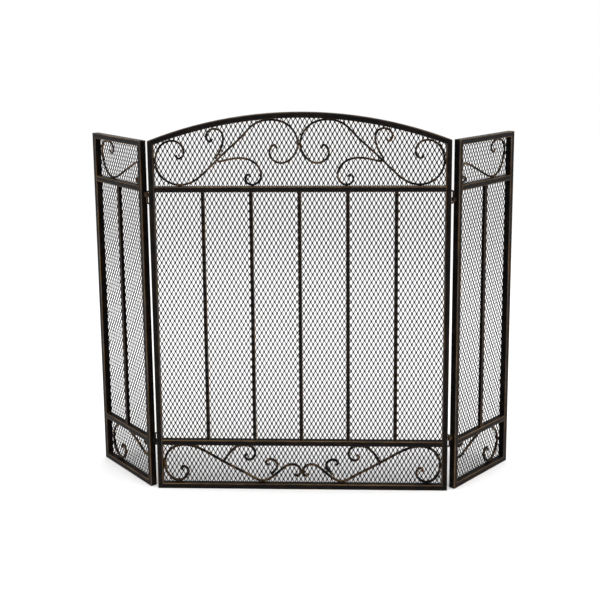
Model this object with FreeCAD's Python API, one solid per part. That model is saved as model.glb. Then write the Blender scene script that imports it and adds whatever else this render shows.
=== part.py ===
"""Three-panel folding fireplace screen with an arched centre panel and two hinged wings.

Millimetres. +Z is up, +X runs to the right along the centre panel and +Y points to the fire.
The origin is the middle of the underside of the centre panel's bottom rail, on the floor.
Each wing is drawn flat beside the centre panel's right edge, turned about its hinge pins to
where it stands, and mirrored for the left side.
"""
import FreeCAD, Part
import math
import os

# Driving dimensions
CENTRE_WIDTH = 635.0
WING_WIDTH = 208.0
STILE_HEIGHT = 771.0
ARCH_HEIGHT = 830.5
WING_ANGLE = 49.0  # how far each wing stands back from flat, degrees

TUBE = 12.0  # width of the frame tube's face
TUBE_DEPTH = 15.0  # the frame tube from front to back
TUBE_WALL = 1.2
TUBE_CORNER = 1.4
BORE_CORNER = 0.5  # inside the tube
FRAME_CORNER = 2.5  # rounding of each frame's outer corners
UPPER_CROSSBAR_BOTTOM = 662.4
LOWER_CROSSBAR_BOTTOM = 100.3

BAR = 8.0  # solid square upright bars
BAR_CORNER = 0.6
BAR_FRONT = 1.5  # a bar's front face sits this far behind the frame's front face
CENTRE_BARS = 5

TOP_ROD_RADIUS = 2.3  # scrollwork above the upper crossbars
BOTTOM_ROD_RADIUS = 2.9  # scrollwork below the lower crossbars
SEAM = 0.15  # paint-thick gap where a rod meets a tube or the mesh
TOP_CONTACT = TOP_ROD_RADIUS + SEAM
BOTTOM_CONTACT = BOTTOM_ROD_RADIUS + SEAM

MESH_INSET = 4.0
MESH_SHEET = 0.4  # plate with the weight of the expanded metal

PIN_RADIUS = 2.0
PIN_REACH = 4.2  # from the centre stile's side to the pin's axis
STAPLE_HEIGHT = 30.0
STAPLE_BEND = 3.0
UPPER_STAPLE_BOTTOM = 636.0
LOWER_STAPLE_BOTTOM = 98.0
EYE_BORE_RADIUS = 2.05
EYE_OUTER_RADIUS = 3.5
EYE_HEIGHT = 9.0
EYE_TAIL = 2.9
EYE_PLAY = 0.3
WING_REACH = 9.0  # from the pin's axis to the wing stile's side
WING_FRONT = -9.0  # the wing's front face, measured from the pin's axis

MARGIN = 1.0  # how far a solid used for trimming runs past what it trims
ARCH_OVERRUN = 2.0  # how far the arched tube is swept past its mitres before trimming, degrees

# Worked out from the driving dimensions
HALF_WIDTH = CENTRE_WIDTH / 2
INNER_HALF_WIDTH = HALF_WIDTH - TUBE
FRONT = -TUBE_DEPTH / 2
ARCH_RISE = ARCH_HEIGHT - STILE_HEIGHT
ARCH_RADIUS = (HALF_WIDTH**2 + ARCH_RISE**2) / (2 * ARCH_RISE)
ARCH_CENTRE = ARCH_HEIGHT - ARCH_RADIUS
ARCH_SPRING = ARCH_CENTRE + math.sqrt((ARCH_RADIUS - TUBE) ** 2 - INNER_HALF_WIDTH**2)
UPPER_CROSSBAR_TOP = UPPER_CROSSBAR_BOTTOM + TUBE
LOWER_CROSSBAR_TOP = LOWER_CROSSBAR_BOTTOM + TUBE
PIN_X = HALF_WIDTH + PIN_REACH
WING_SIDE = PIN_X + WING_REACH

# Where a rod's centre line lies when the rod touches the frame or its mirror image
ON_BOTTOM_RAIL = TUBE + BOTTOM_CONTACT
UNDER_LOWER_CROSSBAR = LOWER_CROSSBAR_BOTTOM - BOTTOM_CONTACT
ON_UPPER_CROSSBAR = UPPER_CROSSBAR_TOP + TOP_CONTACT
UNDER_WING_TOP = STILE_HEIGHT - TUBE - TOP_CONTACT
TOP_BY_STILE = -INNER_HALF_WIDTH + TOP_CONTACT
BOTTOM_BY_STILE = -INNER_HALF_WIDTH + BOTTOM_CONTACT
TOP_BY_MIDDLE = -TOP_CONTACT
BOTTOM_BY_MIDDLE = -BOTTOM_CONTACT
TOP_BY_HINGE_STILE = TUBE + TOP_CONTACT
BOTTOM_BY_HINGE_STILE = TUBE + BOTTOM_CONTACT

# Centre lines of the scroll rods, (x, z). The centre panel's are those of its left half.
CENTRE_TOP_MAIN = [
    (-259.0, 740.5), (-254.0, 732.5), (-246.0, 736.5), (-243.0, 748.0), (-250.5, 764.0),
    (-268.0, 770.5), (-288.5, 762.5), (-300.0, 745.0), (TOP_BY_STILE, 725.0), (-297.5, 704.0),
    (-280.0, 685.0), (-252.0, ON_UPPER_CROSSBAR), (-224.5, 684.0), (-200.0, 703.0),
    (-175.0, 727.5), (-148.0, 753.0), (-118.0, 781.0), (-93.0, 805.0), (-60.0, 813.7),
    (-26.0, 805.0), (-7.5, 784.0), (TOP_BY_MIDDLE, 763.0), (-9.5, 741.0), (-37.0, 722.8),
    (-57.5, 732.0), (-61.5, 750.0), (-53.0, 760.8), (-46.5, 753.0),
]
CENTRE_TOP_UPPER_BRANCH = [
    (-175.2, 734.2), (-168.8, 744.0), (-162.5, 757.0), (-159.0, 773.0), (-163.5, 789.5),
    (-177.5, 795.2), (-190.5, 789.5), (-194.3, 778.0), (-188.0, 768.3), (-182.0, 774.5),
]
CENTRE_TOP_LOWER_BRANCH = [
    (-169.3, 725.9), (-158.5, 728.4), (-147.0, 730.9), (-121.0, 733.3), (-98.0, 726.5),
    (-82.5, 708.5), (-82.5, 688.0), (-99.0, ON_UPPER_CROSSBAR), (-113.0, 687.0),
    (-108.5, 698.0), (-102.5, 693.5),
]
CENTRE_BOTTOM_MAIN = [
    (-265.0, 38.5), (-260.5, 47.0), (-252.0, 40.5), (-255.5, 24.0), (-274.0, ON_BOTTOM_RAIL),
    (-294.0, 26.5), (BOTTOM_BY_STILE, 52.0), (-297.0, 77.0), (-278.0, 93.6),
    (-255.0, UNDER_LOWER_CROSSBAR), (-227.0, 89.8), (-194.0, 71.8), (-153.0, 48.0),
    (-113.0, 26.0), (-87.0, ON_BOTTOM_RAIL), (-65.5, 24.0), (-46.0, 40.5), (-23.0, 53.5),
    (-7.5, 48.5), (BOTTOM_BY_MIDDLE, 36.5), (-8.5, 26.8), (-15.0, 32.0),
]
CENTRE_BOTTOM_LARGE_BRANCH = [
    (-170.1, 62.5), (-165.0, 71.1), (-155.0, 83.5), (-143.0, 94.0),
    (-125.0, UNDER_LOWER_CROSSBAR), (-108.5, 92.5), (-102.6, 80.0), (-108.5, 66.5),
    (-119.0, 64.0), (-125.5, 71.5), (-118.5, 75.5),
]
CENTRE_BOTTOM_SMALL_BRANCH = [
    (-66.3, 32.1), (-60.4, 38.0), (-55.2, 45.2), (-54.0, 54.5), (-62.0, 63.2),
    (-73.0, 64.3), (-79.0, 57.5), (-72.0, 52.2),
]
# The wings' are measured from the hinge side of the wing. The left wing's top scroll rises
# further towards the hinge before it turns down.
RIGHT_WING_TOP_HINGE_END = [
    (29.0, 684.0), (32.5, 688.6), (39.6, 684.5), (28.0, ON_UPPER_CROSSBAR),
    (TOP_BY_HINGE_STILE, 692.0), (23.5, 711.5), (37.0, 715.8), (57.0, 710.5), (82.0, 699.4),
]
LEFT_WING_TOP_HINGE_END = [
    (29.0, 684.0), (32.5, 688.6), (39.6, 684.5), (28.0, ON_UPPER_CROSSBAR), (17.6, 684.5),
    (TOP_BY_HINGE_STILE, 699.0), (18.2, 714.0), (28.5, 721.4), (47.0, 716.5), (79.0, 701.4),
]
WING_TOP_OUTER_END = [
    (110.0, 686.0), (140.0, ON_UPPER_CROSSBAR), (159.0, 681.0), (173.0, 692.0),
    (183.5, 711.0), (187.5, 731.0), (182.0, 748.0), (162.0, UNDER_WING_TOP), (141.0, 750.0),
    (135.0, 739.0), (142.5, 730.5), (150.5, 736.5),
]
WING_BOTTOM_SCROLL = [
    (30.0, 91.0), (33.0, 86.3), (39.6, 90.5), (28.0, UNDER_LOWER_CROSSBAR),
    (BOTTOM_BY_HINGE_STILE, 83.0), (22.0, 65.2), (34.5, 61.2), (53.0, 68.3), (82.0, 82.8),
    (108.0, 93.6), (132.0, UNDER_LOWER_CROSSBAR), (158.0, 94.0), (177.5, 79.0),
    (184.5, 57.0), (181.0, 37.5), (170.5, 22.5), (152.0, ON_BOTTOM_RAIL), (136.5, 22.5),
    (131.0, 36.5), (140.0, 49.0), (148.5, 40.0),
]


def at(x, z, y=0.0):
    return FreeCAD.Vector(x, y, z)


def prism(edges, y_low, y_high):
    """The solid between two depths whose outline is a closed chain of edges in the XZ plane."""
    outline = Part.Face(Part.Wire(edges))
    outline.translate(FreeCAD.Vector(0, y_low, 0))
    return outline.extrude(FreeCAD.Vector(0, y_high - y_low, 0))


def polygon(*corners):
    """A chain of straight edges through (x, z) corners, closed."""
    points = [at(x, z) for x, z in corners]
    return [Part.LineSegment(a, b).toShape() for a, b in zip(points, points[1:] + points[:1])]


def rounded_bar(low, high, along, radius):
    """A box between two opposite corners, its four edges along one axis rounded."""
    size = high - low
    box = Part.makeBox(*size, low)
    edges = [e for e in box.Edges if abs(e.tangentAt(e.FirstParameter).dot(along)) > 0.99]
    return box.makeFillet(radius, edges)


def straight_tube(low, high, along):
    """A frame tube between two opposite corners, open at both ends."""
    wall = FreeCAD.Vector(1, 1, 1) - along
    inset = wall * TUBE_WALL - along
    outside = rounded_bar(low, high, along, TUBE_CORNER)
    inside = rounded_bar(low + inset, high - inset, along, BORE_CORNER)
    return outside.cut(inside)


def stile_tube(x_low, front):
    low = FreeCAD.Vector(x_low, front, -TUBE)
    high = FreeCAD.Vector(x_low + TUBE, front + TUBE_DEPTH, STILE_HEIGHT + TUBE)
    return straight_tube(low, high, FreeCAD.Vector(0, 0, 1))


def rail_tube(x_low, x_high, z_low, front):
    low = FreeCAD.Vector(x_low, front, z_low)
    high = FreeCAD.Vector(x_high, front + TUBE_DEPTH, z_low + TUBE)
    return straight_tube(low, high, FreeCAD.Vector(1, 0, 0))


def upright_bar(x, front):
    half = BAR / 2
    low = FreeCAD.Vector(x - half, front + BAR_FRONT, LOWER_CROSSBAR_TOP)
    high = FreeCAD.Vector(x + half, front + BAR_FRONT + BAR, UPPER_CROSSBAR_BOTTOM)
    return rounded_bar(low, high, FreeCAD.Vector(0, 0, 1), BAR_CORNER)


def sweep_round(path, radius):
    """A round rod along a wire."""
    start = path.Edges[0]
    centre = start.valueAt(start.FirstParameter)
    heading = start.tangentAt(start.FirstParameter)
    section = Part.Wire(Part.makeCircle(radius, centre, heading))
    return path.makePipeShell([section], True, False)


def scroll_rod(points, y, radius):
    """A bent round rod through (x, z) points at one depth."""
    curve = Part.BSplineCurve()
    curve.interpolate([at(x, z, y) for x, z in points])
    return sweep_round(Part.Wire(curve.toShape()), radius)


def mirrored(shape):
    return shape.mirror(FreeCAD.Vector(0, 0, 0), FreeCAD.Vector(1, 0, 0))


def arch_edges(inset, foot):
    """A chain round the arched panel, inset from its outer faces, with its lower edge at foot."""
    half = HALF_WIDTH - inset
    radius = ARCH_RADIUS - inset
    shoulder = ARCH_CENTRE + math.sqrt(radius**2 - half**2)
    top = Part.Arc(at(-half, shoulder), at(0, ARCH_CENTRE + radius), at(half, shoulder))
    return [
        Part.LineSegment(at(half, foot), at(-half, foot)).toShape(),
        Part.LineSegment(at(-half, foot), at(-half, shoulder)).toShape(),
        top.toShape(),
        Part.LineSegment(at(half, shoulder), at(half, foot)).toShape(),
    ]


def corner_block(x, z, x_sign, z_sign, front):
    """What rounding takes off one outer corner of a frame."""
    reach = FRAME_CORNER + MARGIN
    square = Part.makeBox(reach, TUBE_DEPTH + 2 * MARGIN, reach)
    square.translate(FreeCAD.Vector(-MARGIN, front - MARGIN, -MARGIN))
    round_off = Part.makeCylinder(
        FRAME_CORNER, TUBE_DEPTH + 4 * MARGIN,
        FreeCAD.Vector(FRAME_CORNER, front - 2 * MARGIN, FRAME_CORNER), FreeCAD.Vector(0, 1, 0),
    )
    block = square.cut(round_off)
    if x_sign < 0:
        block = mirrored(block)
    if z_sign < 0:
        block = block.mirror(FreeCAD.Vector(0, 0, 0), FreeCAD.Vector(0, 0, 1))
    block.translate(FreeCAD.Vector(x, 0, z))
    return block


def centre_frame():
    """Mitred tubes round the centre panel, and its two crossbars."""
    depth = (FRONT - MARGIN, FRONT + TUBE_DEPTH + MARGIN)
    left_foot = corner_block(-HALF_WIDTH, 0, 1, 1, FRONT)
    right_foot = mirrored(left_foot)
    stile_region = polygon(
        (-HALF_WIDTH, 0), (-INNER_HALF_WIDTH, TUBE),
        (-INNER_HALF_WIDTH, ARCH_SPRING), (-HALF_WIDTH, STILE_HEIGHT),
    )
    rail_region = polygon(
        (-HALF_WIDTH, 0), (HALF_WIDTH, 0), (INNER_HALF_WIDTH, TUBE), (-INNER_HALF_WIDTH, TUBE),
    )
    arch_region = polygon(
        (-HALF_WIDTH, STILE_HEIGHT), (-INNER_HALF_WIDTH, ARCH_SPRING),
        (INNER_HALF_WIDTH, ARCH_SPRING), (HALF_WIDTH, STILE_HEIGHT),
        (HALF_WIDTH, ARCH_HEIGHT + MARGIN), (-HALF_WIDTH, ARCH_HEIGHT + MARGIN),
    )
    stile = stile_tube(-HALF_WIDTH, FRONT).common(prism(stile_region, *depth)).cut(left_foot)
    rail = rail_tube(-HALF_WIDTH, HALF_WIDTH, 0, FRONT).common(prism(rail_region, *depth))
    crossbars = {
        "centre_upper_crossbar": UPPER_CROSSBAR_BOTTOM,
        "centre_lower_crossbar": LOWER_CROSSBAR_BOTTOM,
    }
    pieces = {
        "centre_left_stile": stile,
        "centre_right_stile": mirrored(stile),
        "centre_bottom_rail": rail.cut(left_foot).cut(right_foot),
        "centre_arched_top_rail": arched_tube().common(prism(arch_region, *depth)),
    }
    for name, z in crossbars.items():
        pieces[name] = rail_tube(-INNER_HALF_WIDTH, INNER_HALF_WIDTH, z, FRONT)
    return pieces


def arched_tube():
    """Frame tube bent to the arch, longer than its mitres at both ends."""
    half_angle = math.degrees(math.asin(HALF_WIDTH / ARCH_RADIUS)) + ARCH_OVERRUN
    centre = at(0, ARCH_CENTRE)
    around = FreeCAD.Vector(0, 1, 0)

    def section(inset, corner):
        low = FreeCAD.Vector(-MARGIN, FRONT + inset, ARCH_HEIGHT - TUBE + inset)
        high = FreeCAD.Vector(MARGIN, FRONT + TUBE_DEPTH - inset, ARCH_HEIGHT - inset)
        bar = rounded_bar(low, high, FreeCAD.Vector(1, 0, 0), corner)
        return Part.Face(bar.slice(FreeCAD.Vector(1, 0, 0), 0)[0])

    def swept(face, angle):
        face.rotate(centre, around, -angle)
        return face.revolve(centre, around, 2 * angle)

    outside = swept(section(0, TUBE_CORNER), half_angle)
    bore = swept(section(TUBE_WALL, BORE_CORNER), half_angle + ARCH_OVERRUN)
    return outside.cut(bore)


def centre_bars():
    """Upright bars that share the width between the stiles equally."""
    pitch = 2 * INNER_HALF_WIDTH / (CENTRE_BARS + 1)
    return {
        f"centre_upright_bar_{i + 1}": upright_bar(-INNER_HALF_WIDTH + (i + 1) * pitch, FRONT)
        for i in range(CENTRE_BARS)
    }


def centre_scrolls():
    """Six bent rods in each half of the centre panel, the right half a mirror of the left."""
    paths = {
        "top_main_scroll": (CENTRE_TOP_MAIN, TOP_ROD_RADIUS),
        "top_upper_branch": (CENTRE_TOP_UPPER_BRANCH, TOP_ROD_RADIUS),
        "top_lower_branch": (CENTRE_TOP_LOWER_BRANCH, TOP_ROD_RADIUS),
        "bottom_main_scroll": (CENTRE_BOTTOM_MAIN, BOTTOM_ROD_RADIUS),
        "bottom_large_branch": (CENTRE_BOTTOM_LARGE_BRANCH, BOTTOM_ROD_RADIUS),
        "bottom_small_branch": (CENTRE_BOTTOM_SMALL_BRANCH, BOTTOM_ROD_RADIUS),
    }
    pieces = {}
    for name, (points, radius) in paths.items():
        rod = scroll_rod(points, FRONT + TUBE_DEPTH - SEAM - radius, radius)
        pieces[f"centre_left_{name}"] = rod
        pieces[f"centre_right_{name}"] = mirrored(rod)
    return pieces


def hinge_staple(bottom):
    """A U of round rod on the right stile's outer side, whose upright is the hinge pin."""
    z_low = bottom + PIN_RADIUS
    z_high = bottom + STAPLE_HEIGHT - PIN_RADIUS
    turn = PIN_X - STAPLE_BEND
    corner = STAPLE_BEND * (1 - math.sqrt(0.5))
    edges = [
        Part.LineSegment(at(HALF_WIDTH, z_low), at(turn, z_low)),
        Part.Arc(at(turn, z_low), at(PIN_X - corner, z_low + corner), at(PIN_X, z_low + STAPLE_BEND)),
        Part.LineSegment(at(PIN_X, z_low + STAPLE_BEND), at(PIN_X, z_high - STAPLE_BEND)),
        Part.Arc(at(PIN_X, z_high - STAPLE_BEND), at(PIN_X - corner, z_high - corner), at(turn, z_high)),
        Part.LineSegment(at(turn, z_high), at(HALF_WIDTH, z_high)),
    ]
    return sweep_round(Part.Wire([edge.toShape() for edge in edges]), PIN_RADIUS)


def hinge_eye(z_low):
    """A strap wrapped round the pin, its closed tail ending on the wing stile's side."""
    up = FreeCAD.Vector(0, 0, 1)
    ring = Part.makeCylinder(EYE_OUTER_RADIUS, EYE_HEIGHT, at(PIN_X, z_low), up)
    tail = Part.makeBox(
        WING_REACH, EYE_TAIL, EYE_HEIGHT, FreeCAD.Vector(PIN_X, -EYE_TAIL / 2, z_low)
    )
    bore = Part.makeCylinder(
        EYE_BORE_RADIUS, EYE_HEIGHT + 2 * MARGIN, at(PIN_X, z_low - MARGIN), up
    )
    return ring.fuse(tail).cut(bore).removeSplitter()


def eye_bottom(staple_bottom, at_top):
    """The eye's lower edge, high or low on the staple's straight upright."""
    straight_low = staple_bottom + PIN_RADIUS + STAPLE_BEND
    straight_high = staple_bottom + STAPLE_HEIGHT - PIN_RADIUS - STAPLE_BEND
    if at_top:
        return straight_high - EYE_PLAY - EYE_HEIGHT
    return straight_low + EYE_PLAY


def centre_panel():
    pieces = centre_frame()
    pieces.update(centre_bars())
    pieces.update(centre_scrolls())
    back = FRONT + TUBE_DEPTH
    pieces["centre_mesh"] = prism(arch_edges(MESH_INSET, MESH_INSET), back, back + MESH_SHEET)
    for level, bottom in (("upper", UPPER_STAPLE_BOTTOM), ("lower", LOWER_STAPLE_BOTTOM)):
        staple = hinge_staple(bottom)
        pieces[f"right_{level}_hinge_staple"] = staple
        pieces[f"left_{level}_hinge_staple"] = mirrored(staple)
    return pieces


def flat_wing(top_hinge_end, upper_eye_at_top, lower_eye_at_top):
    """A wing's pieces, lying flat beside the centre panel's right edge."""
    near, far = WING_SIDE, WING_SIDE + WING_WIDTH
    back = WING_FRONT + TUBE_DEPTH
    depth = (WING_FRONT - MARGIN, back + MARGIN)
    feet = corner_block(near, 0, 1, 1, WING_FRONT).fuse(corner_block(far, 0, -1, 1, WING_FRONT))
    near_region = polygon(
        (near, 0), (near + TUBE, TUBE), (near + TUBE, STILE_HEIGHT - TUBE), (near, STILE_HEIGHT)
    )
    far_region = polygon(
        (far, 0), (far, STILE_HEIGHT), (far - TUBE, STILE_HEIGHT - TUBE), (far - TUBE, TUBE)
    )
    bottom_region = polygon((near, 0), (far, 0), (far - TUBE, TUBE), (near + TUBE, TUBE))
    top_region = polygon(
        (near, STILE_HEIGHT), (near + TUBE, STILE_HEIGHT - TUBE),
        (far - TUBE, STILE_HEIGHT - TUBE), (far, STILE_HEIGHT),
    )
    heads = corner_block(near, STILE_HEIGHT, 1, -1, WING_FRONT).fuse(
        corner_block(far, STILE_HEIGHT, -1, -1, WING_FRONT)
    )

    def mitred(tube, region):
        return tube.common(prism(region, *depth)).cut(feet).cut(heads)

    def crossbar(z):
        return rail_tube(near + TUBE, far - TUBE, z, WING_FRONT)

    def scroll(points, radius):
        return scroll_rod([(near + x, z) for x, z in points], back - SEAM - radius, radius)

    mesh_outline = polygon(
        (near + MESH_INSET, MESH_INSET), (far - MESH_INSET, MESH_INSET),
        (far - MESH_INSET, STILE_HEIGHT - MESH_INSET), (near + MESH_INSET, STILE_HEIGHT - MESH_INSET),
    )
    return {
        "hinge_stile": mitred(stile_tube(near, WING_FRONT), near_region),
        "outer_stile": mitred(stile_tube(far - TUBE, WING_FRONT), far_region),
        "bottom_rail": mitred(rail_tube(near, far, 0, WING_FRONT), bottom_region),
        "top_rail": mitred(rail_tube(near, far, STILE_HEIGHT - TUBE, WING_FRONT), top_region),
        "upper_crossbar": crossbar(UPPER_CROSSBAR_BOTTOM),
        "lower_crossbar": crossbar(LOWER_CROSSBAR_BOTTOM),
        "upright_bar": upright_bar((near + far) / 2, WING_FRONT),
        "top_scroll": scroll(top_hinge_end + WING_TOP_OUTER_END, TOP_ROD_RADIUS),
        "bottom_scroll": scroll(WING_BOTTOM_SCROLL, BOTTOM_ROD_RADIUS),
        "mesh": prism(mesh_outline, back, back + MESH_SHEET),
        "upper_hinge_eye": hinge_eye(eye_bottom(UPPER_STAPLE_BOTTOM, upper_eye_at_top)),
        "lower_hinge_eye": hinge_eye(eye_bottom(LOWER_STAPLE_BOTTOM, lower_eye_at_top)),
    }


def wing(side):
    """One wing where it stands. The eyes ride high or low on their staples as it was hung."""
    left = side == "left"
    hinge_end = LEFT_WING_TOP_HINGE_END if left else RIGHT_WING_TOP_HINGE_END
    pieces = {}
    for name, shape in flat_wing(hinge_end, left, not left).items():
        shape.rotate(at(PIN_X, 0), FreeCAD.Vector(0, 0, 1), WING_ANGLE)
        pieces[f"{side}_wing_{name}"] = mirrored(shape) if left else shape
    return pieces


os.makedirs("parts", exist_ok=True)
for panel in (centre_panel(), wing("left"), wing("right")):
    for node, shape in panel.items():
        shape.exportStep(f"parts/{node}.step")
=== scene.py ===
import math

import bpy
import numpy as np
from mathutils import Matrix, Vector

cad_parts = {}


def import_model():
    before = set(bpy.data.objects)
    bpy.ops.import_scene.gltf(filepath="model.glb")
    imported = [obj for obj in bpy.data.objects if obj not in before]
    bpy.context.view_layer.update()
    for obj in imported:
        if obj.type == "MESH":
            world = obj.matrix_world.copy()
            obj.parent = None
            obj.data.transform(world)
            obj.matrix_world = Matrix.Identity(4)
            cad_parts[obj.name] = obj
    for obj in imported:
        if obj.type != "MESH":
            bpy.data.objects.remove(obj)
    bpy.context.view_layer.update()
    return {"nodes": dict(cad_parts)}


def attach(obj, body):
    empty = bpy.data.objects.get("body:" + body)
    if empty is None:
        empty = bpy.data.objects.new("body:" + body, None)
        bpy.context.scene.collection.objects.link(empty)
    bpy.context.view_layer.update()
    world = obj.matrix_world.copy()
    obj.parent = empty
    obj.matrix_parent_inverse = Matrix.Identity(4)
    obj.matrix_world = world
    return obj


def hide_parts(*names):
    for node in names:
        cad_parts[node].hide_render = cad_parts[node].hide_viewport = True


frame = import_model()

MM = 0.001

# The frame's dimensions, as in the CAD
HALF_WIDTH = 317.5
TUBE = 12.0
TUBE_DEPTH = 15.0
TUBE_CORNER = 1.4
INNER_HALF_WIDTH = HALF_WIDTH - TUBE
STILE_HEIGHT = 771.0
ARCH_HEIGHT = 830.5
ARCH_RISE = ARCH_HEIGHT - STILE_HEIGHT
ARCH_RADIUS = (HALF_WIDTH**2 + ARCH_RISE**2) / (2 * ARCH_RISE)
ARCH_CENTRE = ARCH_HEIGHT - ARCH_RADIUS
ARCH_SPRING = ARCH_CENTRE + math.sqrt((ARCH_RADIUS - TUBE) ** 2 - INNER_HALF_WIDTH**2)
FRAME_CORNER = 2.5
CENTRE_FRONT = -7.5
BAR = 8.0
BAR_CORNER = 0.6
BAR_FRONT = 1.5
CENTRE_BARS = 5
BAR_PITCH = 2 * INNER_HALF_WIDTH / (CENTRE_BARS + 1)
MESH_INSET = 4.0
WING_WIDTH = 208.0
WING_ANGLE = 49.0
WING_FRONT = -9.0
PIN_X = 321.7
WING_SIDE = PIN_X + 9.0
WING_END = WING_SIDE + WING_WIDTH
CROSSBARS = {"upper_crossbar": 662.4, "lower_crossbar": 100.3}
BAR_FOOT = CROSSBARS["lower_crossbar"] + TUBE
BAR_HEAD = CROSSBARS["upper_crossbar"]

# Expanded metal: diamonds taller than wide, cut from sheet whose strands tilt as they open
DIAMOND_WIDTH = 9.65
DIAMOND_HEIGHT = 17.2
STRAND_WIDTH = 2.0
STRAND_THICKNESS = 1.2
STRAND_TILT = math.radians(15)
BOND_LENGTH = 3.4

RING_SPACING = 25.0  # between rings of vertices along a tube
CORNER_RINGS = 7  # closer rings where a frame corner is rounded

# Scroll rods and hinges, as in the CAD
TOP_ROD = 2.3
BOTTOM_ROD = 2.9
PIN_RADIUS = 2.0
STAPLES = (98.0, 636.0)
STAPLE_HEIGHT = 30.0
EYE_HEIGHT = 9.0
EYE_OFFSET = 5.3  # from a staple's end to the nearer edge of its eye

# Welds
LUMP_RINGS = 6
LUMP_SIDES = 10
LUMPINESS = 0.07  # share of a lump's size by which its surface varies
CORNER_BEAD = 1.2
CORNER_BEAD_SHORT = 0.6  # a corner bead stops this short of a tube's front and back
BAR_BEAD = 1.0
BAR_BEAD_SHORT = 0.4
ROD_BEAD_DEPTH = 1.5
ALONG_X = (3.4, 0.9)  # half-lengths along x and z of a bead on a level face
ALONG_Z = (0.9, 3.4)  # and on an upright one
BRANCH_SWELL = 0.3  # how far a branch's weld stands out from its rod, seen from the front
BRANCH_RISE = 0.1  # and how far it rises in front of it
STAPLE_FOOT = (0.7, PIN_RADIUS + 0.9, PIN_RADIUS + 0.8)  # half-sizes of the weld at a staple's foot
EYE_TAIL = (0.8, 2.5, EYE_HEIGHT / 2 + 0.6)  # and of the one that holds an eye
TACK = 2.3
TACK_SPREAD = 0.2  # share by which tacks differ in size
TACK_DRIFT = 0.14  # share of their spacing by which they are off it
TACK_PITCH = 72.0
TACK_INSET = 7.0
TACK_LIFT = 1.6  # from a tube's back to a tack's middle
TACK_THICKNESS = 1.9

rng = np.random.default_rng(7)


class Panel:
    """Where a piece is drawn and what it rides on: the centre panel or one wing."""

    def __init__(self, body, prefix, front, side=None):
        self.body = body
        self.prefix = prefix
        self.front = front
        self.back = front + TUBE_DEPTH
        self.side = side

    def stand(self, points):
        """Points of the flat drawing, moved to where this panel stands."""
        if self.side is None:
            return points
        angle = math.radians(WING_ANGLE)
        x, y = points[:, 0] - PIN_X, points[:, 1]
        turned_x = PIN_X + x * math.cos(angle) - y * math.sin(angle)
        turned_y = x * math.sin(angle) + y * math.cos(angle)
        mirror = -1 if self.side == "left" else 1
        return np.stack([mirror * turned_x, turned_y, points[:, 2]], axis=1)

    def piece(self, name, points, faces, slot, material, normals=None, layers=None):
        """Adds a mesh drawn flat in millimetres as a piece that rides on this panel's body."""
        mesh = bpy.data.meshes.new(self.prefix + name)
        if self.side == "left":
            faces = faces[:, ::-1] if isinstance(faces, np.ndarray) else [f[::-1] for f in faces]
        mesh.from_pydata((self.stand(points) * MM).tolist(), [], [list(map(int, f)) for f in faces])
        for key, values in (layers or {}).items():
            scalar = values.ndim == 1
            layer = mesh.attributes.new(key, "FLOAT" if scalar else "FLOAT_VECTOR", "POINT")
            layer.data.foreach_set("value" if scalar else "vector", values.ravel())
        if normals is not None:
            mesh.polygons.foreach_set("use_smooth", [True] * len(mesh.polygons))
            standing = self.stand(points + normals) - self.stand(points)
            mesh.normals_split_custom_set_from_vertices(standing.tolist())
        mesh.materials.append(material)
        thing = bpy.data.objects.new(self.prefix + name, mesh)
        bpy.context.collection.objects.link(thing)
        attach(thing, self.body)
        return thing


CENTRE = Panel("centre_panel", "centre_", CENTRE_FRONT)
WINGS = (
    Panel("left_wing", "left_wing_", WING_FRONT, "left"),
    Panel("right_wing", "right_wing_", WING_FRONT, "right"),
)


# Materials

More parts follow.
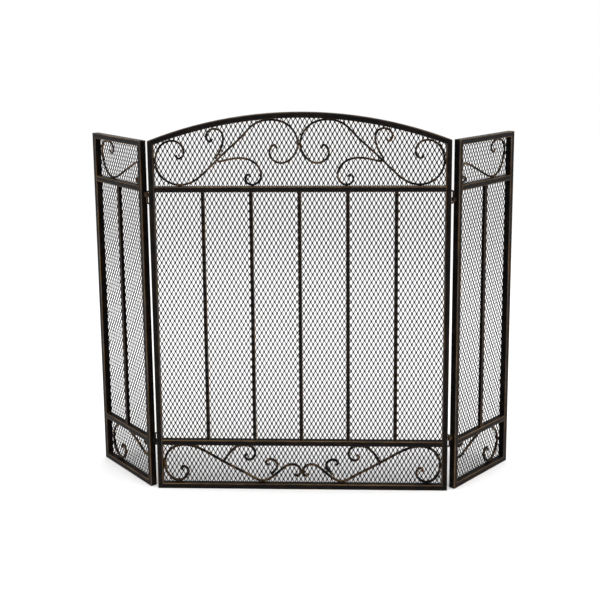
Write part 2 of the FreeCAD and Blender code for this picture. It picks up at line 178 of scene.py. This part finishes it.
class Finish:
    """A material being wired up. Its methods add one node each and return the node's output."""

    def __init__(self, name):
        self.material = bpy.data.materials.new(name)
        self.material.use_nodes = True
        self.nodes = self.material.node_tree.nodes
        self.links = self.material.node_tree.links
        self.shader = self.nodes["Principled BSDF"]

    def wire(self, value, socket):
        if isinstance(value, bpy.types.NodeSocket):
            self.links.new(value, socket)
        else:
            socket.default_value = value

    def math(self, operation, *values, clamp=False):
        node = self.nodes.new("ShaderNodeMath")
        node.operation = operation
        node.use_clamp = clamp
        for value, socket in zip(values, node.inputs):
            self.wire(value, socket)
        return node.outputs[0]

    def vector_math(self, operation, *values):
        node = self.nodes.new("ShaderNodeVectorMath")
        node.operation = operation
        for value, socket in zip(values, node.inputs):
            self.wire(value, socket)
        return node.outputs["Vector"]

    def attribute(self, name, output="Vector"):
        node = self.nodes.new("ShaderNodeAttribute")
        node.attribute_name = name
        return node.outputs[output]

    def place(self):
        return self.nodes.new("ShaderNodeTexCoord").outputs["Object"]

    def split(self, vector):
        node = self.nodes.new("ShaderNodeSeparateXYZ")
        self.wire(vector, node.inputs[0])
        return node.outputs

    def noise(self, vector, scale, detail=3.0, roughness=0.55):
        node = self.nodes.new("ShaderNodeTexNoise")
        self.wire(vector, node.inputs["Vector"])
        self.wire(scale, node.inputs["Scale"])
        self.wire(detail, node.inputs["Detail"])
        self.wire(roughness, node.inputs["Roughness"])
        return node.outputs["Fac"]

    def fade(self, value, low, high, out_low=0.0, out_high=1.0):
        """A smooth step from out_low to out_high while value goes from low to high."""
        node = self.nodes.new("ShaderNodeMapRange")
        node.interpolation_type = "SMOOTHSTEP"
        for setting, socket in zip((value, low, high, out_low, out_high), node.inputs):
            self.wire(setting, socket)
        return node.outputs[0]

    def blend(self, share, first, second):
        node = self.nodes.new("ShaderNodeMix")
        node.data_type = "RGBA"
        colours = [socket for socket in node.inputs if socket.type == "RGBA"]
        self.wire(share, node.inputs["Factor"])
        self.wire(first, colours[0])
        self.wire(second, colours[1])
        return next(socket for socket in node.outputs if socket.type == "RGBA")

    def bump(self, height, distance, strength, under=None):
        node = self.nodes.new("ShaderNodeBump")
        self.wire(strength, node.inputs["Strength"])
        self.wire(distance, node.inputs["Distance"])
        self.wire(height, node.inputs["Height"])
        if under is not None:
            self.wire(under, node.inputs["Normal"])
        return node.outputs[0]

    def set(self, **inputs):
        """Sets shader inputs by name, with _ for spaces."""
        for name, value in inputs.items():
            self.wire(value, self.shader.inputs[name.replace("_", " ")])
        return self.material


BLACK_PAINT = (0.0030, 0.0028, 0.0030, 1)
WARM_PAINT = (0.0085, 0.0060, 0.0045, 1)
DARK_BRONZE = (0.045, 0.027, 0.014, 1)
BRIGHT_BRONZE = (0.240, 0.145, 0.068, 1)


def antiqued(finish, rub, place):
    """Black paint, warm in patches, with bronze wherever rub is near 1."""
    mottle = finish.fade(finish.noise(place, 55.0, 4.0), 0.42, 0.72)
    paint = finish.blend(mottle, BLACK_PAINT, WARM_PAINT)
    bronze = finish.blend(finish.noise(place, 260.0, 2.0), DARK_BRONZE, BRIGHT_BRONZE)
    peel = finish.noise(place, 1500.0, 2.0)
    surface = finish.bump(peel, 0.00006, 0.45, finish.bump(rub, 0.00008, 0.35))
    grain = finish.noise(place, 420.0, 3.0)
    return finish.set(
        Base_Color=finish.blend(rub, paint, bronze),
        Metallic=finish.math("MULTIPLY", rub, 0.75),
        Roughness=finish.fade(grain, 0.25, 0.75, 0.34, 0.52),
        Specular_IOR_Level=0.05,
        Normal=surface,
    )


def rubbed_and_highlit_tube(name, width, thick, reach, amount):
    """Paint brushed along a tube or bar and rubbed back to bronze along its edges, with painted
    highlight: the bronze is heavier on front edges and on the edges a piece weights more, mostly top
    ones, where light falls.
    """
    finish = Finish(name)
    lay = finish.attribute("lay")
    cut = finish.attribute("cut", "Fac")
    place = finish.place()
    _, across, depth = finish.split(lay)
    from_side = finish.math("SUBTRACT", width / 2 * MM, finish.math("ABSOLUTE", across))
    from_face = finish.math("SUBTRACT", thick / 2 * MM, finish.math("ABSOLUTE", depth))
    from_edge = finish.math("MAXIMUM", from_side, from_face)
    streaks = finish.noise(finish.vector_math("MULTIPLY", lay, (60.0, 900.0, 900.0)), 1.0, 3.0)
    patches = finish.noise(place, 9.0, 2.0)
    ragged = finish.math("MULTIPLY", streaks, reach * MM * 2)
    edge = finish.fade(finish.math("SUBTRACT", ragged, from_edge), -0.25 * MM, 0.75 * MM)
    # Painted highlight: more bronze on the front edges, which face the light, than on the back ones.
    front = finish.fade(depth, thick / 2 * MM, -thick / 2 * MM, 0.45, 1.0)
    lively = finish.fade(patches, 0.34, 0.66, 0.35, 1.0)
    line = finish.math("MULTIPLY", finish.math("MULTIPLY", edge, front), lively)
    # The per-edge weights: real rub, made heavier on top and right-hand edges as painted highlight.
    line = finish.math("MULTIPLY", line, finish.attribute("rub_and_highlight", "Fac"))
    scuffed = finish.fade(patches, 0.50, 0.72, 0.0, 0.20)
    scuffs = finish.math("MULTIPLY", finish.fade(streaks, 0.58, 0.80), scuffed)
    at_cut = finish.fade(cut, 0.8 * MM, 0.2 * MM)
    mitre = finish.math("MULTIPLY", at_cut, finish.fade(streaks, 0.45, 0.65, 0.0, 0.3))
    most = finish.math("MAXIMUM", line, finish.math("MAXIMUM", scuffs, mitre))
    return antiqued(finish, finish.math("MULTIPLY", most, amount, clamp=True), place)


def rubbed_rod(name, amount):
    """Paint on round rod, rubbed back to bronze in patches all over."""
    finish = Finish(name)
    place = finish.place()
    broad = finish.fade(finish.noise(place, 24.0, 3.0), 0.40, 0.64)
    fine = finish.fade(finish.noise(place, 330.0, 3.0), 0.36, 0.66)
    patches = finish.math("MULTIPLY", broad, fine)
    return antiqued(finish, finish.math("MULTIPLY", patches, amount, clamp=True), place)


def mesh_paint():
    """Thin satin black on the expanded metal, a little warm where the sheet was cut."""
    finish = Finish("expanded_metal_paint")
    place = finish.place()
    warmth = finish.fade(finish.noise(place, 300.0, 2.0), 0.5, 0.75)
    return finish.set(
        Base_Color=finish.blend(warmth, BLACK_PAINT, WARM_PAINT),
        Roughness=finish.fade(finish.noise(place, 120.0, 2.0), 0.3, 0.7, 0.40, 0.58),
        Specular_IOR_Level=0.06,
        Normal=finish.bump(finish.noise(place, 1900.0, 2.0), 0.00005, 0.4),
    )


TUBE_PAINT = rubbed_and_highlit_tube("tube_paint", TUBE, TUBE_DEPTH, 1.9, 0.95)
BAR_PAINT = rubbed_and_highlit_tube("bar_paint", BAR, BAR, 1.5, 0.8)
ROD_PAINT = rubbed_rod("rod_paint", 0.85)
HINGE_PAINT = rubbed_rod("hinge_paint", 1.0)
MESH_PAINT = mesh_paint()
WELD_PAINT = rubbed_rod("weld_paint", 0.6)


# Tubes and bars

def rounded_section(width, depth, radius, steps=4):
    """Outline and normals of a tube's section, as (across, depth) rows; +across is outward."""
    flat = np.array([width, depth]) / 2 - radius
    outline, normals = [], []
    for corner, signs in enumerate(((1, 1), (-1, 1), (-1, -1), (1, -1))):
        for step in range(steps + 1):
            angle = math.pi / 2 * (corner + step / steps)
            normal = np.array([math.cos(angle), math.sin(angle)])
            outline.append(flat * np.array(signs) + radius * normal)
            normals.append(normal)
    return np.array(outline), np.array(normals)


def stations(length, rounded_ends):
    """Where along a tube its rings of vertices are, from 0 to 1."""
    middle = np.linspace(0, length, max(2, round(length / RING_SPACING) + 1))
    if not rounded_ends:
        return middle / length
    near = np.linspace(0, FRAME_CORNER, CORNER_RINGS)
    return np.concatenate([near, middle[1:-1], length - near[::-1]]) / length


def straight(outer, inner):
    """A tube's lines between two ends: outer and inner are its edges' (start, end) as (x, z)."""
    outer, inner = np.array(outer, float), np.array(inner, float)
    run = (outer[1] - outer[0]) / np.linalg.norm(outer[1] - outer[0])
    outward = outer[0] - inner[0]
    outward = outward - run * outward.dot(run)
    outward = outward / np.linalg.norm(outward)

    def lines(steps, share):
        edge = outer[0] + steps[:, None] * (outer[1] - outer[0])
        back = inner[0] + steps[:, None] * (inner[1] - inner[0])
        points = edge[:, None] + share[None, :, None] * (back - edge)[:, None]
        return points, np.broadcast_to(outward, points.shape)

    return lines, np.linalg.norm(outer[1] - outer[0])


def arch():
    """The arched rail's lines, from its left mitre to its right one."""
    mitre = math.atan2(STILE_HEIGHT - ARCH_SPRING, TUBE)

    def lines(steps, share):
        radius = ARCH_RADIUS - TUBE * share
        level = (STILE_HEIGHT - ARCH_CENTRE) * math.cos(mitre) - HALF_WIDTH * math.sin(mitre)
        end = np.arccos(level / radius) - mitre
        angle = (2 * steps[:, None] - 1) * end[None]
        outward = np.stack([np.sin(angle), np.cos(angle)], axis=-1)
        return np.array([0, ARCH_CENTRE]) + radius[None, :, None] * outward, outward

    return lines, 2 * HALF_WIDTH


def rounded_off(points, normals, corner, inward):
    """Vertices near a frame's outer corner, moved onto its rounding."""
    centre = np.array(corner) + FRAME_CORNER * np.array(inward)
    offset = points - centre
    distance = np.linalg.norm(offset, axis=-1)
    moved = (offset * inward < 0).all(axis=-1) & (distance > FRAME_CORNER)
    outward = offset[moved] / distance[moved][:, None]
    points[moved] = centre + FRAME_CORNER * outward
    normals[moved] = outward * np.linalg.norm(normals[moved], axis=-1)[:, None]


def square_piece(panel, name, shape, rub_and_highlight, corners=(), size=(TUBE, TUBE_DEPTH), radius=TUBE_CORNER,
                 front=0.0, slot="frame_tube", material=TUBE_PAINT):
    """A tube or bar in place of the CAD node of the same name. size is its width and depth.

    Its pair of edge weights says how much bronze its outer and its inner edges get, from 0 to 1: real
    rub, heavier on top and right-hand edges as painted highlight.
    """
    lines, length = shape
    width, thick = size
    outline, outline_normals = rounded_section(width, thick, radius)
    steps = stations(length, bool(corners))
    flat, outward = lines(steps, 0.5 - outline[:, 0] / width)
    flat = flat.copy()
    in_plane = outward * outline_normals[None, :, :1]
    for corner, inward in corners:
        rounded_off(flat, in_plane, corner, inward)
    rings, count = len(steps), len(outline)
    depth = np.tile(panel.front + front + thick / 2 + outline[:, 1], rings)
    points = np.stack([flat[..., 0].ravel(), depth, flat[..., 1].ravel()], axis=1)
    normal_depth = np.tile(outline_normals[:, 1], rings)
    normals = np.stack([in_plane[..., 0].ravel(), normal_depth, in_plane[..., 1].ravel()], axis=1)
    along = np.repeat(steps * length, count)
    lay = np.stack([along, np.tile(outline[:, 0], rings), np.tile(outline[:, 1], rings)], axis=1)
    run = flat[-1, 0] - flat[0, 0]
    right_handed = outward[0, 0, 0] * run[1] - outward[0, 0, 1] * run[0] > 0
    faces = skin(rings, count)
    if not right_handed:
        faces = [face[::-1] for face in faces]
    rubbed_and_lit = np.interp(outline[:, 0], [-width / 2, width / 2], rub_and_highlight[::-1])
    from_end = np.minimum(along, length - along)
    layers = {"lay": lay * MM, "cut": from_end * MM, "rub_and_highlight": np.tile(rubbed_and_lit, rings)}
    thing = panel.piece(name + "_metal", points, faces, slot, material, normals, layers)
    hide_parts(panel.prefix + name)
    return thing


def skin(rings, count):
    """Quads between rings of vertices, and a face over each end."""
    faces = [
        (ring * count + i, ring * count + (i + 1) % count,
         (ring + 1) * count + (i + 1) % count, (ring + 1) * count + i)
        for ring in range(rings - 1) for i in range(count)
    ]
    faces.append(tuple(range(count))[::-1])
    faces.append(tuple(range((rings - 1) * count, rings * count)))
    return faces


def centre_tubes():
    left_foot = ((-HALF_WIDTH, 0), (1, 1))
    right_foot = ((HALF_WIDTH, 0), (-1, 1))
    for side, sign, foot in (("left", -1, left_foot), ("right", 1, right_foot)):
        shape = straight(
            ((sign * HALF_WIDTH, 0), (sign * HALF_WIDTH, STILE_HEIGHT)),
            ((sign * INNER_HALF_WIDTH, TUBE), (sign * INNER_HALF_WIDTH, ARCH_SPRING)),
        )
        square_piece(CENTRE, f"{side}_stile", shape, (0.15, 0.6), [foot])
    rail = straight(
        ((-HALF_WIDTH, 0), (HALF_WIDTH, 0)), ((-INNER_HALF_WIDTH, TUBE), (INNER_HALF_WIDTH, TUBE))
    )
    # Top edges of the rails and crossbars get more bronze than bottom ones: partly real rub, partly
    # painted highlight where light falls from above.
    square_piece(CENTRE, "bottom_rail", rail, (0.2, 1.0), [left_foot, right_foot])
    square_piece(CENTRE, "arched_top_rail", arch(), (0.45, 0.2))
    crossbars(CENTRE, -INNER_HALF_WIDTH, INNER_HALF_WIDTH, (1.0, 0.15))
    for i in range(CENTRE_BARS):
        upright_bar(CENTRE, f"upright_bar_{i + 1}", -INNER_HALF_WIDTH + (i + 1) * BAR_PITCH)


def crossbars(panel, low, high, rub_and_highlight):
    for name, z in CROSSBARS.items():
        shape = straight(((low, z + TUBE), (high, z + TUBE)), ((low, z), (high, z)))
        square_piece(panel, name, shape, rub_and_highlight)


def upright_bar(panel, name, x):
    low, high = x - BAR / 2, x + BAR / 2
    shape = straight(((high, BAR_FOOT), (high, BAR_HEAD)), ((low, BAR_FOOT), (low, BAR_HEAD)))
    # Its right-hand edge gets more bronze than its left: partly real rub, partly painted highlight.
    square_piece(
        panel, name, shape, (0.9, 0.3), size=(BAR, BAR), radius=BAR_CORNER, front=BAR_FRONT,
        slot="square_bar", material=BAR_PAINT,
    )


def wing_tubes(panel):
    near, far, top = WING_SIDE, WING_END, STILE_HEIGHT
    inner_near, inner_far, inner_top = near + TUBE, far - TUBE, top - TUBE
    near_foot, far_foot = ((near, 0), (1, 1)), ((far, 0), (-1, 1))
    near_head, far_head = ((near, top), (1, -1)), ((far, top), (-1, -1))
    tubes = {
        "hinge_stile": (
            ((near, 0), (near, top)), ((inner_near, TUBE), (inner_near, inner_top)),
            (near_foot, near_head),
        ),
        "outer_stile": (
            ((far, 0), (far, top)), ((inner_far, TUBE), (inner_far, inner_top)),
            (far_foot, far_head),
        ),
        "bottom_rail": (
            ((near, 0), (far, 0)), ((inner_near, TUBE), (inner_far, TUBE)),
            (near_foot, far_foot),
        ),
        "top_rail": (
            ((near, top), (far, top)), ((inner_near, inner_top), (inner_far, inner_top)),
            (near_head, far_head),
        ),
    }
    for name, (outer, inner, corners) in tubes.items():
        square_piece(panel, name, straight(outer, inner), (0.8, 0.8), corners)
    crossbars(panel, inner_near, inner_far, (0.8, 0.6))
    upright_bar(panel, "upright_bar", (near + far) / 2)


# Expanded metal

def strand_path(bottom, top):
    """How far along its zigzag a strand is, 0 at its left bond and 1 at its right, by height."""
    half_period = DIAMOND_HEIGHT / 2
    first, last = math.floor(bottom / half_period) - 1, math.ceil(top / half_period) + 1
    bonds = np.arange(first, last + 1)
    heights = (bonds[:, None] * half_period + np.array([-0.5, 0.5]) * BOND_LENGTH).ravel()
    sway = np.repeat(bonds % 2, 2).astype(float)
    inside = (heights > bottom) & (heights < top)
    kept = np.concatenate([[bottom], heights[inside], [top]])
    return kept, np.interp(kept, heights, sway)


def expanded_metal(panel, low, high, top_at):
    """A sheet of strands between two x positions, up to the height that top_at gives."""
    spacing = DIAMOND_WIDTH / 2
    columns = int((high - low) / spacing)
    start = (low + high - columns * spacing) / 2
    lean = np.array([math.cos(STRAND_TILT), math.sin(STRAND_TILT)])
    section = np.array([
        (w * STRAND_WIDTH / 2 * lean[0] - t * STRAND_THICKNESS / 2 * lean[1],
         w * STRAND_WIDTH / 2 * lean[1] + t * STRAND_THICKNESS / 2 * lean[0])
        for w, t in ((-1, -1), (1, -1), (1, 1), (-1, 1))
    ])
    bond_x, bond_y = STRAND_WIDTH / 2 * lean
    middle = panel.back + 2 * bond_y + STRAND_THICKNESS / 2 * lean[0]
    points, faces, total = [], [], 0
    for column in range(columns):
        left = start + column * spacing
        heights, sway = strand_path(MESH_INSET, top_at(left + spacing / 2))
        if column % 2:
            sway = 1 - sway
        x = left + bond_x + sway * (spacing - 2 * bond_x)
        y = middle + bond_y - sway * 2 * bond_y
        rings = len(heights)
        ribbon = np.empty((rings, 4, 3))
        ribbon[..., 0] = x[:, None] + section[None, :, 0]
        ribbon[..., 1] = y[:, None] + section[None, :, 1]
        ribbon[..., 2] = heights[:, None]
        points.append(ribbon.reshape(-1, 3))
        ring, i = np.meshgrid(np.arange(rings - 1), np.arange(4), indexing="ij")
        low_ring, high_ring, j = total + 4 * ring, total + 4 * ring + 4, (i + 1) % 4
        quads = np.stack([low_ring + i, low_ring + j, high_ring + j, high_ring + i], axis=-1)
        faces.append(quads.reshape(-1, 4))
        ends = total + np.array([(3, 2, 1, 0), (0, 1, 2, 3)]) + np.array([[0], [4 * (rings - 1)]])
        faces.append(ends)
        total += 4 * rings
    sheet = panel.piece(
        "expanded_metal", np.concatenate(points), np.concatenate(faces), "expanded_metal", MESH_PAINT
    )
    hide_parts(panel.prefix + "mesh")


def under_arch(x):
    return ARCH_CENTRE + math.sqrt((ARCH_RADIUS - MESH_INSET) ** 2 - x * x)


def under_wing_top(_x):
    return STILE_HEIGHT - MESH_INSET


centre_tubes()
for wing in WINGS:
    wing_tubes(wing)
expanded_metal(CENTRE, MESH_INSET - HALF_WIDTH, HALF_WIDTH - MESH_INSET, under_arch)
for wing in WINGS:
    expanded_metal(wing, WING_SIDE + MESH_INSET, WING_END - MESH_INSET, under_wing_top)


# Welds

def lump_faces():
    rings = LUMP_RINGS - 1
    last = 1 + rings * LUMP_SIDES
    around = [(i, (i + 1) % LUMP_SIDES) for i in range(LUMP_SIDES)]
    faces = [(0, 1 + i, 1 + j) for i, j in around]
    for ring in range(rings - 1):
        first, second = 1 + ring * LUMP_SIDES, 1 + (ring + 1) * LUMP_SIDES
        faces += [(first + i, second + i, second + j, first + j) for i, j in around]
    first = 1 + (rings - 1) * LUMP_SIDES
    return faces + [(first + i, last, first + j) for i, j in around]


def unit_ball():
    polar = np.linspace(0, math.pi, LUMP_RINGS + 1)[1:-1, None]
    turn = np.linspace(0, 2 * math.pi, LUMP_SIDES, endpoint=False)[None]
    rings = np.stack([
        np.sin(polar) * np.cos(turn), np.sin(polar) * np.sin(turn), np.cos(polar) + 0 * turn
    ], axis=-1)
    return np.concatenate([[[0, 0, 1]], rings.reshape(-1, 3), [[0, 0, -1]]])


def welds(panel, name, slot, spots):
    """Lumpy balls of weld metal at (x, y, z, three radii) spots, as one piece."""
    ball, ball_faces = unit_ball(), lump_faces()
    points, normals, faces = [], [], []
    for x, y, z, *radii in spots:
        swell = 1 + LUMPINESS * rng.standard_normal((len(ball), 1))
        points.append(np.array([x, y, z]) + ball * radii * swell)
        outward = ball / radii
        normals.append(outward / np.linalg.norm(outward, axis=1, keepdims=True))
        start = (len(points) - 1) * len(ball)
        faces += [tuple(start + i for i in face) for face in ball_faces]
    panel.piece(name, np.concatenate(points), faces, slot, WELD_PAINT, np.concatenate(normals))


def corner_beads(panel, low, high, levels):
    """Beads run from front to back where the rails and crossbars meet the stiles."""
    middle, half = panel.front + TUBE_DEPTH / 2, TUBE_DEPTH / 2 - CORNER_BEAD_SHORT
    return [
        (x, middle, z, CORNER_BEAD, half, CORNER_BEAD)
        for x in (low, high) for z in levels
    ]


def bar_beads(panel, x):
    middle = panel.front + BAR_FRONT + BAR / 2
    return [
        (x + side * BAR / 2, middle, z, BAR_BEAD, BAR / 2 - BAR_BEAD_SHORT, BAR_BEAD)
        for side in (-1, 1) for z in (BAR_FOOT, BAR_HEAD)
    ]


def rod_beads(panel, spots):
    """Beads where rods touch, at (x, z, half-length along x, half-length along z)."""
    depth = panel.back - BOTTOM_ROD
    return [(x, depth, z, across, ROD_BEAD_DEPTH, up) for x, z, across, up in spots]


def tacks(panel, start, end):
    """Tacks that hold the mesh to the back of a tube, spread along a line between (x, z) ends."""
    start, end = np.array(start), np.array(end)
    length = np.linalg.norm(end - start)
    count = max(2, round(length / TACK_PITCH))
    spots = []
    for i in range(count):
        share = (i + 0.5 + rng.uniform(-TACK_DRIFT, TACK_DRIFT)) / count
        x, z = start + share * (end - start)
        across = TACK * rng.uniform(1 - TACK_SPREAD, 1 + TACK_SPREAD)
        up = across * rng.uniform(1 - TACK_SPREAD, 1 + TACK_SPREAD)
        spots.append((x, panel.back + TACK_LIFT, z, across, TACK_THICKNESS, up))
    return spots


BOTTOM_RAIL_TOP = TUBE
LOWER_BAR_UNDER = CROSSBARS["lower_crossbar"]
UPPER_BAR_TOP = BAR_HEAD + TUBE
LEVELS = (BOTTOM_RAIL_TOP, LOWER_BAR_UNDER, BAR_FOOT, BAR_HEAD, UPPER_BAR_TOP)

# Where the centre panel's rods touch, in its left half, and where its branches start
CENTRE_TOUCHES = (
    (-INNER_HALF_WIDTH, 725.0, *ALONG_Z), (-252.0, UPPER_BAR_TOP, *ALONG_X),
    (-99.0, UPPER_BAR_TOP, *ALONG_X), (-274.0, BOTTOM_RAIL_TOP, *ALONG_X),
    (-INNER_HALF_WIDTH, 52.0, *ALONG_Z), (-255.0, LOWER_BAR_UNDER, *ALONG_X),
    (-87.0, BOTTOM_RAIL_TOP, *ALONG_X), (-125.0, LOWER_BAR_UNDER, *ALONG_X),
)
MIDDLE_TOUCHES = ((0.0, 763.0, *ALONG_Z), (0.0, 36.5, *ALONG_Z))
BRANCH_STARTS = (
    (-175.6, 733.6, TOP_ROD), (-169.9, 726.4, TOP_ROD),
    (-170.5, 61.8, BOTTOM_ROD), (-66.8, 31.6, BOTTOM_ROD),
)

# The wings', measured from the hinge side
WING_TOUCHES = (
    (28.0, UPPER_BAR_TOP, *ALONG_X), (140.0, UPPER_BAR_TOP, *ALONG_X),
    (162.0, STILE_HEIGHT - TUBE, *ALONG_X), (TUBE, 83.0, *ALONG_Z),
    (28.0, LOWER_BAR_UNDER, *ALONG_X), (132.0, LOWER_BAR_UNDER, *ALONG_X),
    (152.0, BOTTOM_RAIL_TOP, *ALONG_X),
)
WING_TOP_TOUCH = {"left": 699.0, "right": 692.0}


def centre_welds():
    beads = corner_beads(CENTRE, -INNER_HALF_WIDTH, INNER_HALF_WIDTH, (*LEVELS, ARCH_SPRING))
    beads += rod_beads(CENTRE, MIDDLE_TOUCHES)
    for i in range(CENTRE_BARS):
        beads += bar_beads(CENTRE, -INNER_HALF_WIDTH + (i + 1) * BAR_PITCH)
    for sign in (1, -1):
        beads += rod_beads(CENTRE, [(sign * x, z, across, up) for x, z, across, up in CENTRE_TOUCHES])
        beads += [
            (sign * x, CENTRE.back - rod, z, rod + BRANCH_SWELL, rod + BRANCH_RISE, rod + BRANCH_SWELL)
            for x, z, rod in BRANCH_STARTS
        ]
    welds(CENTRE, "weld_beads", "scroll_rod", beads)

    feet = [
        (side * HALF_WIDTH, 0.0, z, *STAPLE_FOOT)
        for side in (-1, 1) for bottom in STAPLES
        for z in (bottom + PIN_RADIUS, bottom + STAPLE_HEIGHT - PIN_RADIUS)
    ]
    welds(CENTRE, "staple_welds", "hinge_iron", feet)

    edge = HALF_WIDTH - TACK_INSET
    spots = tacks(CENTRE, (-edge, TACK_INSET), (edge, TACK_INSET))
    for side in (-edge, edge):
        spots += tacks(CENTRE, (side, 2 * TUBE), (side, STILE_HEIGHT - 2 * TUBE))
    for z in CROSSBARS.values():
        spots += tacks(CENTRE, (-INNER_HALF_WIDTH, z + TUBE / 2), (INNER_HALF_WIDTH, z + TUBE / 2))
    for x, *_ in tacks(CENTRE, (-INNER_HALF_WIDTH, 0), (INNER_HALF_WIDTH, 0)):
        height = ARCH_CENTRE + math.sqrt((ARCH_RADIUS - TACK_INSET) ** 2 - x * x)
        spots.append((x, CENTRE.back + TACK_LIFT, height, TACK, TACK_THICKNESS, TACK))
    welds(CENTRE, "mesh_tacks", "expanded_metal", spots)


def wing_welds(panel):
    near, far = WING_SIDE + TUBE, WING_END - TUBE
    beads = corner_beads(panel, near, far, (*LEVELS, STILE_HEIGHT - TUBE))
    beads += bar_beads(panel, (near + far) / 2)
    touches = (*WING_TOUCHES, (TUBE, WING_TOP_TOUCH[panel.side], *ALONG_Z))
    beads += rod_beads(panel, [(WING_SIDE + x, z, across, up) for x, z, across, up in touches])
    welds(panel, "weld_beads", "scroll_rod", beads)

    eyes_at_top = {"left": (False, True), "right": (True, False)}[panel.side]
    feet = []
    for bottom, at_top in zip(STAPLES, eyes_at_top):
        low = bottom + (STAPLE_HEIGHT - EYE_OFFSET - EYE_HEIGHT if at_top else EYE_OFFSET)
        feet.append((WING_SIDE, 0.0, low + EYE_HEIGHT / 2, *EYE_TAIL))
    welds(panel, "eye_welds", "hinge_iron", feet)

    low, high = WING_SIDE + TACK_INSET, WING_END - TACK_INSET
    bottom, top = TACK_INSET, STILE_HEIGHT - TACK_INSET
    spots = []
    for side in (low, high):
        spots += tacks(panel, (side, 2 * TUBE), (side, top - 2 * TUBE))
    for z in (bottom, top, *(z + TUBE / 2 for z in CROSSBARS.values())):
        spots += tacks(panel, (near, z), (far, z))
    welds(panel, "mesh_tacks", "expanded_metal", spots)


centre_welds()
for wing in WINGS:
    wing_welds(wing)


# The frame's own nodes that keep their shape
for name, node in frame["nodes"].items():
    paint = ROD_PAINT if "scroll" in name or "branch" in name else HINGE_PAINT
    node.data.materials.clear()
    node.data.materials.append(paint)


# Floor, light and camera, in metres

FLOOR_REACH = 40.0
GREY_PAPER = (0.84, 0.84, 0.84, 1)
WHITE_PAPER = (0.87, 0.87, 0.87, 1)
BACKDROP = 1.0  # the sky's strength where the camera sees it
SKY = 0.72  # and as light and in reflections


def floor():
    finish = Finish("floor_paper")
    place = finish.place()
    paper = finish.set(
        Base_Color=finish.blend(finish.noise(place, 3.0, 3.0), GREY_PAPER, WHITE_PAPER),
        Roughness=0.75,
        Specular_IOR_Level=0.1,
        Normal=finish.bump(finish.noise(place, 500.0, 3.0), 0.0001, 0.2),
    )
    mesh = bpy.data.meshes.new("floor")
    corners = [(-FLOOR_REACH, -FLOOR_REACH, 0), (FLOOR_REACH, -FLOOR_REACH, 0),
               (FLOOR_REACH, FLOOR_REACH, 0), (-FLOOR_REACH, FLOOR_REACH, 0)]
    mesh.from_pydata(corners, [], [(0, 1, 2, 3)])
    mesh.materials.append(paper)
    ground = bpy.data.objects.new("floor", mesh)
    bpy.context.collection.objects.link(ground)


def world():
    """White behind everything, and a dimmer white all round for light and reflections."""
    sky = bpy.data.worlds.new("studio")
    bpy.context.scene.world = sky
    sky.use_nodes = True
    nodes, links = sky.node_tree.nodes, sky.node_tree.links
    nodes.clear()
    output = nodes.new("ShaderNodeOutputWorld")
    seen = nodes.new("ShaderNodeBackground")
    seen.inputs["Strength"].default_value = BACKDROP
    seen.inputs["Color"].default_value = (1, 1, 1, 1)
    lit = nodes.new("ShaderNodeBackground")
    lit.inputs["Strength"].default_value = SKY
    lit.inputs["Color"].default_value = (1, 1, 1, 1)
    mix = nodes.new("ShaderNodeMixShader")
    path = nodes.new("ShaderNodeLightPath")
    links.new(path.outputs["Is Camera Ray"], mix.inputs[0])
    links.new(lit.outputs[0], mix.inputs[1])
    links.new(seen.outputs[0], mix.inputs[2])
    links.new(mix.outputs[0], output.inputs["Surface"])


def lamp(kind, name, energy, place, aim, **settings):
    data = bpy.data.lights.new(name, kind)
    data.energy = energy
    for key, value in settings.items():
        setattr(data, key, value)
    light = bpy.data.objects.new(name, data)
    bpy.context.collection.objects.link(light)
    toward = Vector(aim) - Vector(place)
    light.matrix_world = Matrix.Translation(place) @ toward.to_track_quat("-Z", "Y").to_matrix().to_4x4()


SCREEN_MIDDLE = (0, 0, 0.4)
CAMERA_PLACE = (0.0923, -2.2068, 1.0376)
CAMERA_YAW = -2.360  # degrees to the right of straight ahead
CAMERA_PITCH = 9.868  # degrees below level
CAMERA_ROLL = 0.507
CAMERA_LENS = 64.06
CAMERA_SHIFT = -0.1733


def camera():
    data = bpy.data.cameras.new("camera")
    data.lens = CAMERA_LENS
    data.sensor_width = 36.0
    data.shift_y = CAMERA_SHIFT
    eye = bpy.data.objects.new("camera", data)
    bpy.context.collection.objects.link(eye)
    eye.matrix_world = (
        Matrix.Translation(CAMERA_PLACE)
        @ Matrix.Rotation(math.radians(-CAMERA_YAW), 4, "Z")
        @ Matrix.Rotation(math.radians(90 - CAMERA_PITCH), 4, "X")
        @ Matrix.Rotation(math.radians(-CAMERA_ROLL), 4, "Z")
    )
    bpy.context.scene.camera = eye


floor()
world()
lamp("SUN", "overhead", 1.7, (0.4, -1.2, 3.0), SCREEN_MIDDLE, angle=math.radians(80))
for name, x in (("left_softbox", -2.2), ("right_softbox", 2.2)):
    lamp("AREA", name, 26.0, (x, -0.4, 1.0), SCREEN_MIDDLE, shape="RECTANGLE", size=1.2, size_y=1.8)
lamp("AREA", "back_softbox", 8.0, (0, 1.7, 1.5), (0, 0.25, 0), shape="RECTANGLE", size=2.4, size_y=1.0)
camera()
bpy.context.scene.view_settings.view_transform = "Standard"
